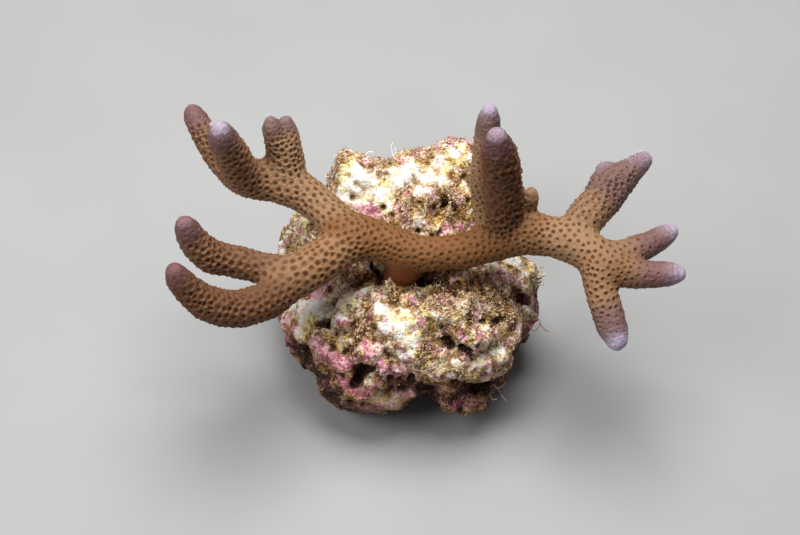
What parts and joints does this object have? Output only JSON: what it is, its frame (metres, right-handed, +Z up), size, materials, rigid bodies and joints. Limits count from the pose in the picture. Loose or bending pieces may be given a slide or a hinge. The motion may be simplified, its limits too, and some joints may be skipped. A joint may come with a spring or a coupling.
{
  "type": "branching montipora coral",
  "caption": "Branching montipora coral with finger-like pored limbs, growing from a holdfast on a loose lump of reef rock that stands on a flat cut.",
  "frame": {"origin": "middle of the flat cut on the rock's underside", "axes": "+Z up, +X along the coral's longest spread, +Y away from the viewer"},
  "size_m": [0.0995, 0.0567, 0.0698],
  "materials": {
    "coral_tissue": "satin, tan with brown pores and pale lilac tips",
    "holdfast_tissue": "satin, smooth orange brown",
    "reef_rock": "rough, cream with ochre, olive and pink crusts"
  },
  "bodies": {
    "root": {"rock": "reef_rock", "holdfast": "holdfast_tissue", "trunk": "coral_tissue", "left_back_limb": "coral_tissue", "back_near_finger": "coral_tissue", "back_far_finger": "coral_tissue", "twin_tip_finger": "coral_tissue", "left_front_limb": "coral_tissue", "front_upper_finger": "coral_tissue", "front_lower_finger": "coral_tissue", "centre_near_finger": "coral_tissue", "centre_far_finger": "coral_tissue", "centre_bud": "coral_tissue", "right_limb": "coral_tissue", "right_back_branch": "coral_tissue", "right_outer_back_finger": "coral_tissue", "right_outer_front_finger": "coral_tissue", "right_front_finger": "coral_tissue"}
  },
  "joints": []
}
